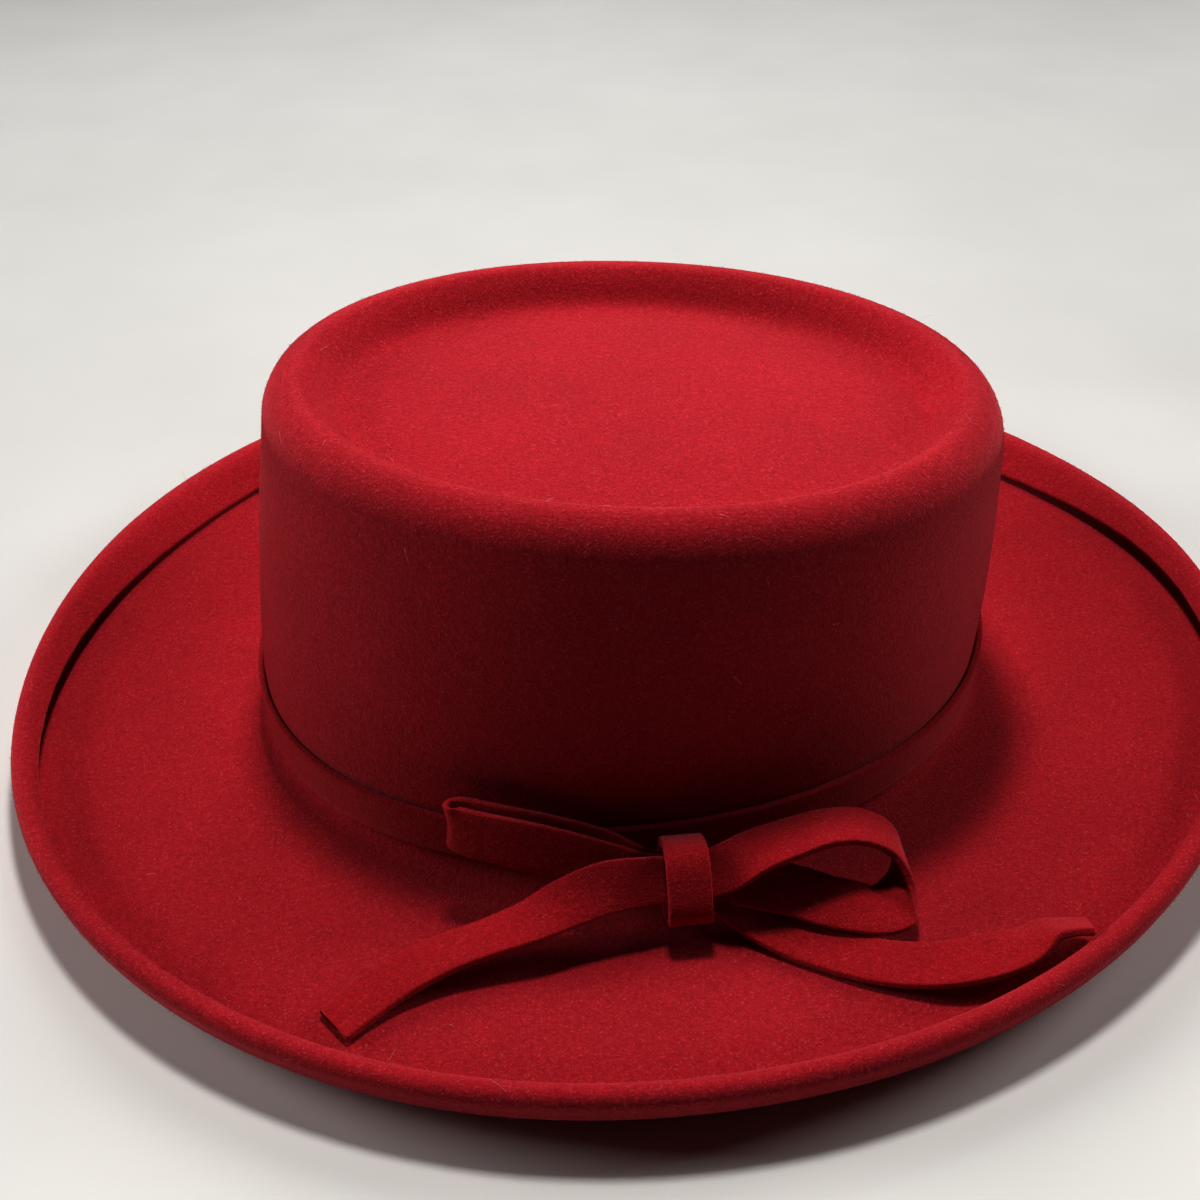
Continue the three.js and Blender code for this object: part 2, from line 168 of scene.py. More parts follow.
LOOP_RIGHT = table(
    STRIP_COLUMNS,
    (8.5, -98.5, 17.5, 50, 0.88, 0, 0),
    (14.5, -98.4, 20.0, 28, 0.95, 0, 0),
    (22.0, -96.6, 22.8, 5, 1, 0, 0),
    (31.0, -95.3, 25.0, -3, 1, 0, 0),
    (38.5, -94.2, 26.2, -8, 1, 0, 0),
    (46.0, -93.4, 25.2, -8, 1, 0, 0),
    (52.2, -93.0, 21.9, -4, 1, 0, 0),
    (56.4, -93.6, 18.2, 0, 1, 0, 0.3),
    (58.4, -96.8, 14.6, 0, 1.04, 0, 0.8),
    (57.8, -101.8, 11.6, 2, 1.08, -10, 1),
    (55.4, -105.6, 10.2, 6, 1.1, -24, 1),
    (50.4, -107.6, 10.6, 13, 1.04, -20, 0.6),
    (44.5, -106.6, 11.4, 21, 1, 0, 0),
    (38.0, -104.4, 11.8, 26, 1, 0, 0),
    (31.0, -101.2, 12.4, 30, 1, 0, 0),
    (21.0, -98.6, 13.8, 38, 1, 0, 0),
    (14.0, -97.3, 15.5, 46, 0.95, 0, 0),
    (8.5, -96.3, 15.4, 51, 0.88, 0, 0),
)
TAIL_LEFT = table(
    STRIP_COLUMNS,
    (1.5, -98.5, 17.5, 51, 0.88, 0, 0),
    (-6.0, -99.2, 18.2, 48, 0.94, 0, 0),
    (-15.0, -99.8, 17.8, 42, 1, 0, 0),
    (-24.0, -101.4, 15.6, 30, 0.97, 0, 0),
    (-33.0, -103.8, 12.8, 8, 0.95, 0, 0),
    (-43.0, -105.6, 10.4, -6, 0.97, 0, 0),
    (-54.0, -108.2, 8.9, -8, 1, 0, 0),
    (-65.0, -113.2, 8.2, -4, 0.98, 0, 0),
    (-72.0, -118.2, 8.0, -2, 0.93, 0, 0),
    (-78.5, -123.6, 8.0, 0, 0.86, 0, 0),
)
TAIL_RIGHT = table(
    STRIP_COLUMNS,
    (8.5, -93.9, 13.0, 50, 0.88, 0, 0),
    (13.0, -95.4, 11.3, 43, 1, 0, 0),
    (19.0, -100.8, 7.7, 24, 1, 0, 0),
    (27.0, -107.2, 5.7, 8, 1, 0, 0),
    (36.0, -113.6, 6.2, -2, 1, 0, 0),
    (48.0, -120.6, 8.4, -5, 1, 0, 0),
    (60.0, -124.4, 11.0, -5, 1, 0, 0),
    (71.0, -124.2, 12.1, -5, 1, 0, 0),
    (79.5, -122.8, 12.8, -15, 0.98, 0, 0),
    (86.0, -120.0, 14.0, -33, 0.95, 0, 0),
    (91.0, -120.0, 14.9, -40, 0.92, 0, 0),
    (95.5, -120.8, 15.6, -40, 0.88, 0, 0),
)

# Knot: middle and outer half-axes of the loop, width and lean of the strip, and squareness of the loop.
KNOT = {"x": 4.8, "y": -96.2, "z": 14.0, "long": 10.4, "deep": 10.0, "wide": 10.6, "lean": 51.5}
KNOT_POWER = 3.0

# Mesh fineness.
COLUMNS = 300
ROW_STEP = 2.6
LEAST_SPLITS = 2
STEPS_PER_STATION = 9
CORNER_STEPS = 3
FACE_STEPS = 6
KNOT_STATIONS = 96

# Fibres: random seed, how many, longest, how wide at the root, lean from upright in radians, segments.
CROWN_NAP = {"seed": 41, "count": 56000, "length": 1.1, "width": 0.085, "tilt": (0.3, 1.35), "segments": 2}
BRIM_NAP = {"seed": 42, "count": 44000, "length": 1.2, "width": 0.085, "tilt": (0.6, 1.4), "segments": 2}
ROLL_NAP = {"seed": 45, "count": 56000, "length": 1.2, "width": 0.085, "tilt": (0.2, 1.3), "segments": 2}
BOW_NAP = {"seed": 43, "count": 36000, "length": 1.0, "width": 0.075, "tilt": (0.3, 1.35), "segments": 2}
STRAY_HAIRS = {"seed": 44, "count": 150, "length": 6.0, "width": 0.09, "tilt": (0.5, 1.4), "segments": 7}

# Every fibre: its length is a draw from "least" to 1, to a power, of the longest. It bends over by "bend"
# radians from root to tip, strays sideways, turns its flat side, and has its root below the surface.
FIBRE = {"least": 0.35, "power": 1.4, "bend": 0.7, "stray": 0.7, "twist": 0.5, "rooted": 0.05}

# How thickly the nap covers each zone, and where the zones begin.
NAP_SMOOTH = 0.35
NAP_EDGES = 2.4
NAP_HIDDEN = 0.06
ROLL_FROM_RADIUS = 150.0
RIM_FROM_HEIGHT = 87.0
RIM_FROM_RADIUS = 58.0

knot_low, knot_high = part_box("bow_knot")
TO_ROW_FRAME = np.array((knot_low + knot_high) / 2) / MM - np.array([KNOT["x"], KNOT["y"], KNOT["z"]])


# ---------------------------------------------------------------- shapes
def oval(spec, shrink, angle):
    """Points of an oval with both half-axes made smaller by shrink."""
    a = spec["a"] - shrink
    b = spec["b"] - shrink
    c, s = np.cos(angle), np.sin(angle)
    px = a * np.sign(c) * np.abs(c) ** (2 / spec["power"])
    py = b * np.sign(s) * np.abs(s) ** (2 / spec["power"])
    turn = math.radians(spec["turn"])
    x = spec["x"] + px * math.cos(turn) - py * math.sin(turn)
    y = spec["y"] + px * math.sin(turn) + py * math.cos(turn)
    return np.stack([x, y], axis=-1)


def mixed(low, high, share):
    """An oval between two others."""
    return {key: low[key] + (high[key] - low[key]) * share for key in low}


def with_height(points, z):
    """Level points given their height."""
    return np.concatenate([points, np.broadcast_to(z, points.shape[:-1])[..., None]], axis=-1)


def round_brim(column, angle):
    """Smooth value round the brim from the EDGE table."""
    values = EDGE[column]
    place = (angle / (2 * math.pi) * len(values)) % len(values)
    row = np.floor(place).astype(int)
    t = place - row

    def at(shift):
        return values[(row + shift) % len(values)]

    slope_here = (at(1) - at(-1)) / 2
    slope_next = (at(2) - at(0)) / 2
    rise = at(1) - at(0)
    bend = 3 * rise - 2 * slope_here - slope_next
    return at(0) + t * (slope_here + t * (bend + t * (slope_here + slope_next - 2 * rise)))


def body_line(angle):
    """Felt centre line of the hat body, rows from the tip's middle to the cut edge of the brim."""
    half = FELT / 2
    line = []

    def rim_height(p):
        return RIM_TOP + RIM_SLOPE[0] * p[..., 0] + RIM_SLOPE[1] * p[..., 1]

    middle = np.array([SHOULDER["x"], SHOULDER["y"]])
    inner = oval(SHOULDER, RIM["inset"][-1], angle)
    for share in TIP_SHARES:
        p = middle + (inner - middle) * share
        drop = TIP_DROP + (RIM["drop"][-1] - TIP_DROP) * share**TIP_DISH
        line.append(with_height(p, rim_height(p) - drop))
    for inset, drop in zip(RIM["inset"][::-1], RIM["drop"][::-1]):
        p = oval(SHOULDER, inset, angle)
        line.append(with_height(p, rim_height(p) - drop))
    top = line[-1][..., 2]
    for share in WALL_SHARES:
        bulge = WALL_BULGE * math.sin(math.pi * share)
        p = oval(mixed(SHOULDER, BASE, share), half - bulge, angle)
        line.append(with_height(p, top + (WALL_STRAIGHT_TO - top) * share))
    for turn in FILLET_TURNS:
        out = BRIM_FILLET * (1 - math.cos(math.radians(turn)))
        z = half + BRIM_FILLET * (1 - math.sin(math.radians(turn)))
        line.append(with_height(oval(BASE, half - out, angle), z))
    flat = oval(BASE, half - FLAT_RING, angle)
    line.append(with_height(flat, half))
    reach = round_brim("reach", angle)
    foot = round_brim("foot", angle)
    closed = np.clip(round_brim("closed", angle), 0, 1)
    roll_start = oval(BRIM_EDGE, ROLL["hook_in"][0] - reach, angle)
    for share in BRIM_SHARES:
        p = flat + (roll_start - flat) * share
        line.append(with_height(p, half + (foot - half) * share * share * (2 - share)))
    for i in range(len(ROLL["hook_in"])):
        inward = ROLL["hook_in"][i] + (ROLL["fold_in"][i] - ROLL["hook_in"][i]) * closed
        rise = ROLL["hook_up"][i] + (ROLL["fold_up"][i] - ROLL["hook_up"][i]) * closed
        line.append(with_height(oval(BRIM_EDGE, inward - reach, angle), foot + rise))
    return np.stack(line)


def refined(rows):
    """Rows of points with smooth rows added between them, so that none is far from the next."""
    ends = [2 * rows[0] - rows[1], *rows, 2 * rows[-1] - rows[-2]]
    out = []
    for p0, p1, p2, p3 in zip(ends, ends[1:], ends[2:], ends[3:]):
        gaps = [
            np.sqrt(np.maximum(np.linalg.norm(b - a, axis=-1, keepdims=True), 1e-6))
            for a, b in ((p0, p1), (p1, p2), (p2, p3))
        ]
        slope1 = ((p1 - p0) / gaps[0] - (p2 - p0) / (gaps[0] + gaps[1]) + (p2 - p1) / gaps[1]) * gaps[1]
        slope2 = ((p2 - p1) / gaps[1] - (p3 - p1) / (gaps[1] + gaps[2]) + (p3 - p2) / gaps[2]) * gaps[1]
        longest = np.linalg.norm(p2 - p1, axis=-1).max()
        splits = max(LEAST_SPLITS, math.ceil(longest / ROW_STEP))
        for k in range(splits):
            t = k / splits
            out.append(
                p1 * (2 * t**3 - 3 * t**2 + 1)
                + slope1 * (t**3 - 2 * t**2 + t)
                + p2 * (3 * t**2 - 2 * t**3)
                + slope2 * (t**3 - t**2)
            )
    out.append(rows[-1])
    return np.stack(out)


def outward_of(spec, angle):
    """Level direction straight out of an oval, at each angle."""
    nudge = 0.01
    ahead = oval(spec, 0, angle + nudge)
    behind = oval(spec, 0, angle - nudge)
    normal = np.stack([ahead[..., 1] - behind[..., 1], behind[..., 0] - ahead[..., 0]], axis=-1)
    return normal / np.linalg.norm(normal, axis=-1, keepdims=True)


def wander(angle, seed, size, waves):
    """Uneven value round a closed line, or along a strip, at most size either way."""
    random = np.random.default_rng(seed)
    total = np.zeros_like(angle)
    for wave in waves:
        total += np.sin(wave * angle + random.uniform(0, 2 * math.pi)) * random.uniform(0.5, 1)
    return size * (total / len(waves))


def grid_faces(rows, columns, closed_rows):
    """Quads of a grid that goes round its columns, and round its rows where closed_rows."""
    last = rows if closed_rows else rows - 1
    r, c = np.meshgrid(np.arange(last), np.arange(columns), indexing="ij")
    below = (r + 1) % rows
    ahead = (c + 1) % columns
    quads = np.stack(
        [r * columns + c, below * columns + c, below * columns + ahead, r * columns + ahead], axis=-1
    )
    return quads.reshape(-1, 4)


def riding_piece(name, points, faces, material):
    """A piece of layout points in millimetres, moved into the row frame, that rides on the body."""
    mesh = bpy.data.meshes.new(name)
    mesh.from_pydata(((points + TO_ROW_FRAME) * MM).tolist(), [], faces)
    mesh.materials.append(material)
    piece = bpy.data.objects.new(name, mesh)
    bpy.context.scene.collection.objects.link(piece)
    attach(piece, BODY)
    return piece


def felt_piece(name, points, faces, node, material):
    """A smooth-shaded piece that stands for a CAD node."""
    piece = riding_piece(name, points, [list(map(int, f)) for f in faces], material)
    piece.data.validate()
    piece.data.shade_smooth()
    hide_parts(node)
    return piece


def facing_out(points, faces):
    """The faces turned so that the closed mesh has its faces outward."""
    quads = np.array([f for f in faces if len(f) == 4])
    a, b, c, d = (points[quads[:, k]] for k in range(4))
    volume = (a * np.cross(b, c)).sum() + (a * np.cross(c, d)).sum()
    return [list(f)[::-1] for f in faces] if volume < 0 else [list(f) for f in faces]


def hat_body():
    """Both faces of the felt round the whole hat, with the brim's cut edge eased over."""
    angle = np.arange(COLUMNS) * 2 * math.pi / COLUMNS
    line = refined(body_line(angle))
    out = outward_of(BASE, angle)
    along = np.empty_like(line)
    along[1:-1] = line[2:] - line[:-2]
    along[0] = line[1] - line[0]
    along[-1] = line[-1] - line[-2]
    run = (along[..., :2] * out).sum(axis=-1)
    length = np.hypot(run, along[..., 2])
    side = np.concatenate([out * (-along[..., 2] / length)[..., None], (run / length)[..., None]], axis=-1)
    half = FELT / 2
    upper = line + side * half
    lower = line - side * half
    tip = along[-1] / np.linalg.norm(along[-1], axis=-1, keepdims=True)
    edge = []
    uneven = wander(angle, **BRIM_UNEVEN)[:, None]
    for turn in EDGE_TURNS:
        swing = math.radians(turn)
        bulge = EDGE_BULGE * math.sin(swing) + uneven
        edge.append(line[-1] + side[-1] * half * math.cos(swing) + tip * bulge)
    rings = np.concatenate([upper, np.stack(edge), lower[::-1]])
    rings[..., 2] = np.maximum(rings[..., 2], 0)
    points = rings.reshape(-1, 3)
    faces = [list(q) for q in grid_faces(len(rings), COLUMNS, False)]
    top, bottom = len(points), len(points) + 1
    points = np.vstack([points, rings[0].mean(axis=0), rings[-1].mean(axis=0)])
    end = (len(rings) - 1) * COLUMNS
    for i in range(COLUMNS):
        ahead = (i + 1) % COLUMNS
        faces.append([top, i, ahead])
        faces.append([bottom, end + ahead, end + i])
    return points, facing_out(points, faces), rings, len(upper)


def section(wide, thick, corner):
    """Outline of a felt strip with eased corners: columns across its width and through its thickness."""
    w, t = wide / 2, thick / 2
    outline = []
    for right, up, start in ((1, 1, 0), (-1, 1, 90), (-1, -1, 180), (1, -1, 270)):
        for k in range(CORNER_STEPS + 1):
            turn = math.radians(start + 90 * k / CORNER_STEPS)
            outline.append(
                (right * (w - corner) + corner * math.cos(turn), up * (t - corner) + corner * math.sin(turn))
            )
        if start in (0, 180):
            ahead = -right * (w - corner)
            here = right * (w - corner)
            for k in range(1, FACE_STEPS):
                outline.append((here + (ahead - here) * k / FACE_STEPS, up * t))
    return np.array(outline)


def crown_band():
    """The strip round the base of the crown, its top edge a little wavy."""
    angle = np.arange(COLUMNS) * 2 * math.pi / COLUMNS
    tall = BAND["top"] - BAND["bottom"]
    outline = section(tall, BAND["thick"], BAND["corner"])
    wave = BAND["wave"] * np.cos(2 * angle) + BAND["wave"] * np.sin(2 * angle)
    uneven = wander(angle, **BAND_UNEVEN)
    rings = []
    for across, through in outline:
        share = 0.5 + across / tall
        p = oval(BASE, -(BAND["clearance"] + BAND["thick"] / 2) + through, angle)
        z = (BAND["bottom"] + BAND["top"]) / 2 + across + (wave + uneven) * share
        rings.append(with_height(p, z))
    rings = np.stack(rings)
    return rings.reshape(-1, 3), [list(q) for q in grid_faces(len(rings), COLUMNS, True)], rings


def smooth_column(values, steps):
    """Values at even steps along the stations, and the slope there."""
    ends = np.concatenate([[2 * values[0] - values[1]], values, [2 * values[-1] - values[-2]]])
    place = np.linspace(0, len(values) - 1, steps + 1)
    row = np.minimum(np.floor(place).astype(int), len(values) - 2)
    t = place - row
    p0, p1, p2, p3 = (ends[row + k] for k in range(4))
    m1, m2 = (p2 - p0) / 2, (p3 - p1) / 2
    a, b = 2 * p1 - 2 * p2 + m1 + m2, -3 * p1 + 3 * p2 - 2 * m1 - m2
    return ((a * t + b) * t + m1) * t + p1, (3 * a * t + 2 * b) * t + m1


def unit(v):
    """The same directions, one long."""
    return v / np.linalg.norm(v, axis=-1, keepdims=True)


def bent_strip(stations, seed):
    """A felt strip bent along its stations, closed and eased at its cut ends."""
    steps = (len(stations["x"]) - 1) * STEPS_PER_STATION
    values, slopes = {}, {}
    for name, column in stations.items():
        values[name], slopes[name] = smooth_column(column, steps)
    middle = np.stack([values["x"], values["y"], values["z"]], axis=-1)
    along = unit(np.stack([slopes["x"], slopes["y"], slopes["z"]], axis=-1))
    lean, swing = np.radians(values["lean"]), np.radians(values["swing"])
    across = np.stack(
        [np.cos(lean) * np.sin(swing), np.cos(lean) * np.cos(swing), np.sin(lean)], axis=-1
    )
    squaring = (1 - values["skew"]) * (across * along).sum(axis=-1)
    across = unit(across - along * squaring[:, None])
    through = unit(np.cross(along, across))
    run = np.concatenate([[0], np.cumsum(np.linalg.norm(np.diff(middle, axis=0), axis=-1))])
    uneven = wander(run / run[-1] * 2 * math.pi, seed, **STRIP_UNEVEN)
    rings = []
    for k in range(steps + 1):
        outline = section(STRIP["wide"] * values["wide"][k] + uneven[k], STRIP["thick"], STRIP["corner"])
        rings.append(middle[k] + across[k] * outline[:, :1] + through[k] * outline[:, 1:])
    for end, beside, way in ((0, 1, -1), (-1, -2, 1)):
        inner = rings[end]
        centre = inner.mean(axis=0)
        step = unit(along[end]) * way
        rounded = [centre + (inner - centre) * drawn_in + step * out for drawn_in, out in STRIP_END]
        rings = rounded[::-1] + rings if end == 0 else rings + rounded
    rings = np.stack(rings)
    around = rings.shape[1]
    points = rings.reshape(-1, 3)
    faces = [list(q) for q in grid_faces(len(rings), around, False)]
    last = (len(rings) - 1) * around
    faces.append(list(range(around))[::-1])
    faces.append([last + i for i in range(around)])
    return points, facing_out(points, faces), rings, run[-1]


def knot():
    """A strip wrapped once round the middle of the bow."""
    angle = np.arange(KNOT_STATIONS) * 2 * math.pi / KNOT_STATIONS
    lean = math.radians(KNOT["lean"])
    up = np.array([0, math.cos(lean), math.sin(lean)])
    front = np.array([0, -math.sin(lean), math.cos(lean)])
    loop = {"a": KNOT["long"], "b": KNOT["deep"], "x": 0, "y": 0, "turn": 0, "power": KNOT_POWER}
    middle = np.array([KNOT["x"], KNOT["y"], KNOT["z"]])
    uneven = wander(angle, **KNOT_UNEVEN)
    rings = []
    for across, through in section(KNOT["wide"], STRIP["thick"], STRIP["corner"]):
        p = oval(loop, STRIP["thick"] / 2 - through, angle)
        sideways = np.array([1.0, 0, 0]) * (across * (1 + uneven[:, None] / KNOT["wide"]))
        rings.append(middle + up * p[:, :1] + front * p[:, 1:] + sideways)
    rings = np.stack(rings)
    points = rings.reshape(-1, 3)
    faces = [list(q) for q in grid_faces(len(rings), KNOT_STATIONS, True)]
    return points, facing_out(points, faces), rings


# ---------------------------------------------------------------- nap
def nap_roots(random, patches, count):
    """Points spread over the patches by area and cover, and the surface's normal at each."""
    corners, weights = [], []
    for rings, closed_rows, cover in patches:
        quads = grid_faces(len(rings), rings.shape[1], closed_rows)
        quad = rings.reshape(-1, 3)[quads]
        area = np.linalg.norm(np.cross(quad[:, 2] - quad[:, 0], quad[:, 3] - quad[:, 1]), axis=-1) / 2
        corners.append(quad)
        weights.append(area * np.repeat(cover, rings.shape[1])[: len(quads)])
    corners, weights = np.concatenate(corners), np.concatenate(weights)
    quad = corners[random.choice(len(corners), count, p=weights / weights.sum())]
    u, v = random.random((2, count, 1))
    base = (quad[:, 0] * (1 - u) + quad[:, 1] * u) * (1 - v) + (quad[:, 3] * (1 - u) + quad[:, 2] * u) * v
    normal = unit(np.cross(quad[:, 2] - quad[:, 0], quad[:, 3] - quad[:, 1]))
    return base, normal


def fibre_points(random, base, normal, look):
    """Points of thin tapering blades that rise from their roots and bend over."""
    count, segments = look["count"], look["segments"]
    loose = random.normal(size=(count, 3))
    lying = unit(loose - normal * (loose * normal).sum(axis=-1, keepdims=True))
    turned = np.cross(normal, lying)
    tilt = random.uniform(*look["tilt"], (count, 1))
    size = look["length"] * random.uniform(FIBRE["least"], 1.0, (count, 1)) ** FIBRE["power"]
    rise = normal * np.cos(tilt) + lying * np.sin(tilt)
    bent = tilt + FIBRE["bend"]
    stray = turned * random.normal(0, FIBRE["stray"], (count, 1))
    droop = unit(normal * np.cos(bent) + lying * np.sin(bent) + stray)
    twist = normal * random.normal(0, FIBRE["twist"], (count, 1))
    wide = unit(turned + twist) * look["width"] / 2
    root = base - normal * FIBRE["rooted"]
    rows = []
    for k in range(segments):
        t = k / segments
        place = root + (rise * (t - t * t / 2) + droop * (t * t / 2)) * size
        rows += [place - wide * (1 - 0.5 * t), place + wide * (1 - 0.5 * t)]
    rows.append(root + (rise + droop) * size / 2)
    points = np.stack(rows, axis=1).reshape(-1, 3)
    points[:, 2] = np.maximum(points[:, 2], 0)
    return points


def fibre_faces(count, segments):
    """Quads up each blade, and a triangle at its tip."""
    start = np.arange(count)[:, None] * (2 * segments + 1)
    faces = []
    for k in range(segments - 1):
        faces += (start + np.array([2 * k, 2 * k + 1, 2 * k + 3, 2 * k + 2])).tolist()
    faces += (start + np.array([2 * segments - 2, 2 * segments - 1, 2 * segments])).tolist()
    return faces


def nap(name, patches, look, material):
    """Fibres standing out of the felt. Each patch is a grid of surface points, whether it closes round
    its rows, and how thickly each row is covered."""
    random = np.random.default_rng(look["seed"])
    base, normal = nap_roots(random, patches, look["count"])
    points = fibre_points(random, base, normal, look)
    riding_piece(name, points, fibre_faces(look["count"], look["segments"]), material)


# ---------------------------------------------------------------- materials
# The pale speck colours stand partly for lighter fibres and partly for painted glints of fibre sheen.
FELT_REDS = {"dark": (0.37, 0.016, 0.028), "light": (0.51, 0.028, 0.044), "pale_speck_and_glint": (0.70, 0.13, 0.16)}
TRIM_REDS = {"dark": (0.36, 0.012, 0.021), "light": (0.49, 0.020, 0.032), "pale_speck_and_glint": (0.68, 0.10, 0.12)}
FUZZ_REDS = {"dark": (0.50, 0.025, 0.04), "light": (0.78, 0.11, 0.14)}
HAIR_REDS = {"dark": (0.70, 0.22, 0.24), "light": (0.85, 0.50, 0.50)}

# Sizes in millimetres: the felt's clouding, fibres and finest grain, patches of like fibres in the nap,
# and the floor's clouding.
CLOUDS_MM = 34
FIBRES_MM = 1.2
GRAIN_MM = 0.55
NAP_PATCHES_MM = 2.5
FLOOR_CLOUDS_MM = 90

# Floor tones from near to far, as shares of the way between two distances along Y in metres; the darker band
# just behind the hat is painted shade.
FLOOR_NEAR = -0.2
FLOOR_FAR = 0.8
FLOOR_SHADE_TONES = [
    (0.0, (0.86, 0.85, 0.83)),
    (0.35, (0.60, 0.595, 0.585)),
    (0.6, (0.66, 0.655, 0.645)),
    (1.0, (0.86, 0.855, 0.85)),
]


def grey(level):
    """A grey of equal red, green and blue."""
    return (level, level, level)


class Nodes:
    """Adds nodes to a material by name and joins them."""

    def __init__(self, material):
        material.use_nodes = True
        self.tree = material.node_tree
        self.tree.nodes.clear()
        self.output = self.add("ShaderNodeOutputMaterial")
        self.shader = self.add("ShaderNodeBsdfPrincipled")
        self.join(self.shader, "BSDF", self.output, "Surface")

    def add(self, kind, **settings):
        node = self.tree.nodes.new(kind)
        for name, value in settings.items():
            setattr(node, name, value)
        return node

    def join(self, source, out, target, into):
        self.tree.links.new(source.outputs[out], target.inputs[into])

    def noise(self, coordinates, size_mm, detail, roughness=0.6):
        """Noise whose lumps are about size_mm across."""
        node = self.add("ShaderNodeTexNoise")
        node.inputs["Scale"].default_value = 1 / (size_mm * MM)
        node.inputs["Detail"].default_value = detail
        node.inputs["Roughness"].default_value = roughness
        self.tree.links.new(coordinates, node.inputs["Vector"])
        return node

    def ramp(self, source, out, stops):
        """Colours at positions from 0 to 1 along a value."""
        node = self.add("ShaderNodeValToRGB")
        ramp = node.color_ramp
        while len(ramp.elements) < len(stops):
            ramp.elements.new(0.5)
        for element, (position, colour) in zip(ramp.elements, stops):
            element.position = position
            element.color = (*colour, 1)
        self.join(source, out, node, "Fac")
        return node

    def bump(self, height, out, distance_mm, strength, under=None):
        """Relief up to distance_mm deep, on top of another bump where one is given."""
        node = self.add("ShaderNodeBump")
        node.inputs["Distance"].default_value = distance_mm * MM
        node.inputs["Strength"].default_value = strength
        self.join(height, out, node, "Height")
        if under:
            self.join(under, "Normal", node, "Normal")
        return node

    def mix(self, kind, factor, a, b):
        """Mixed colour of a and b, each a colour or a socket; factor is a number or a socket."""
        node = self.add("ShaderNodeMix", data_type="RGBA", blend_type=kind)
        sockets = {s.identifier: s for s in node.inputs}
        if isinstance(factor, float):
            sockets["Factor_Float"].default_value = factor
        else:
            self.tree.links.new(factor, sockets["Factor_Float"])
        for value, key in ((a, "A_Color"), (b, "B_Color")):
            if isinstance(value, tuple):
                sockets[key].default_value = (*value, 1)
            else:
                self.tree.links.new(value, sockets[key])
        return [out for out in node.outputs if out.identifier == "Result_Color"][0]


def felt_material(name, dark, light, pale_speck_and_glint):
    """Napped wool felt: clouded red, fine fibre grain, pale specks that are partly lighter fibres and partly
    painted glints of fibre sheen, soft sheen.
    """
    material = bpy.data.materials.new(name)
    n = Nodes(material)
    place = n.add("ShaderNodeTexCoord").outputs["Object"]
    clouds = n.noise(place, CLOUDS_MM, 3)
    fibres = n.noise(place, FIBRES_MM, 4, 0.75)
    grain = n.noise(place, GRAIN_MM, 2, 0.6)
    body = n.ramp(fibres, "Fac", [(0.34, dark), (0.66, light)])
    shade = n.ramp(clouds, "Fac", [(0.3, grey(0.88)), (0.7, grey(1.0))])
    clouded = n.mix("MULTIPLY", 1.0, body.outputs["Color"], shade.outputs["Color"])
    # Pale specks from the finest grain: partly lighter fibres, partly painted glints of fibre sheen.
    speck_and_glint_mask = n.ramp(grain, "Fac", [(0.56, grey(0)), (0.76, grey(0.6))])
    with_specks_and_glints = n.mix("MIX", speck_and_glint_mask.outputs["Color"], clouded, pale_speck_and_glint)
    n.tree.links.new(with_specks_and_glints, n.shader.inputs["Base Color"])
    soft = n.bump(clouds, "Fac", 0.5, 0.3)
    woolly = n.bump(fibres, "Fac", 0.5, 0.55, soft)
    fine = n.bump(grain, "Fac", 0.3, 0.75, woolly)
    n.join(fine, "Normal", n.shader, "Normal")
    n.shader.inputs["Roughness"].default_value = 0.95
    n.shader.inputs["Specular IOR Level"].default_value = 0.12
    n.shader.inputs["Sheen Weight"].default_value = 0.42
    n.shader.inputs["Sheen Roughness"].default_value = 0.42
    n.shader.inputs["Sheen Tint"].default_value = (1.0, 0.32, 0.36, 1)
    return material


def fibre_material(name, dark, light):
    """Single fibres, some darker and some lighter, in small patches."""
    material = bpy.data.materials.new(name)
    n = Nodes(material)
    place = n.add("ShaderNodeTexCoord").outputs["Object"]
    variety = n.noise(place, NAP_PATCHES_MM, 2)
    colour = n.ramp(variety, "Fac", [(0.35, dark), (0.7, light)])
    n.join(colour, "Color", n.shader, "Base Color")
    n.shader.inputs["Roughness"].default_value = 0.75
    n.shader.inputs["Specular IOR Level"].default_value = 0.25
    return material


def floor_material():
    """Pale matt floor, lightest in front of the hat and far behind it, with painted shade just behind the
    hat.
    """
    material = bpy.data.materials.new("pale_floor")
    n = Nodes(material)
    place = n.add("ShaderNodeTexCoord").outputs["Object"]
    tone = n.noise(place, FLOOR_CLOUDS_MM, 2)
    cloud = n.ramp(tone, "Fac", [(0.3, grey(0.96)), (0.7, grey(1.0))])
    axes = n.add("ShaderNodeSeparateXYZ")
    n.tree.links.new(place, axes.inputs["Vector"])
    depth = n.add("ShaderNodeMapRange")
    depth.inputs["From Min"].default_value = FLOOR_NEAR
    depth.inputs["From Max"].default_value = FLOOR_FAR
    n.join(axes, "Y", depth, "Value")
    # Painted shade: the floor's tone dips along Y just behind the hat.
    painted_floor_shade = n.ramp(depth, "Result", FLOOR_SHADE_TONES)
    colour = n.mix("MULTIPLY", 1.0, painted_floor_shade.outputs["Color"], cloud.outputs["Color"])
    n.tree.links.new(colour, n.shader.inputs["Base Color"])
    n.shader.inputs["Roughness"].default_value = 0.8
    return material


# ---------------------------------------------------------------- the hat
felt = felt_material("wool_felt", **FELT_REDS)
trim = felt_material("wool_felt_trim", **TRIM_REDS)
fuzz = fibre_material("wool_fibre", **FUZZ_REDS)
hair = fibre_material("stray_hair", **HAIR_REDS)

points, faces, rings, upper_rows = hat_body()
felt_piece("hat_body_felt", points, faces, "hat_body", felt)
points, faces, band_rings = crown_band()
band = felt_piece("crown_band_felt", points, faces, "crown_band", trim)

bow_patches = []

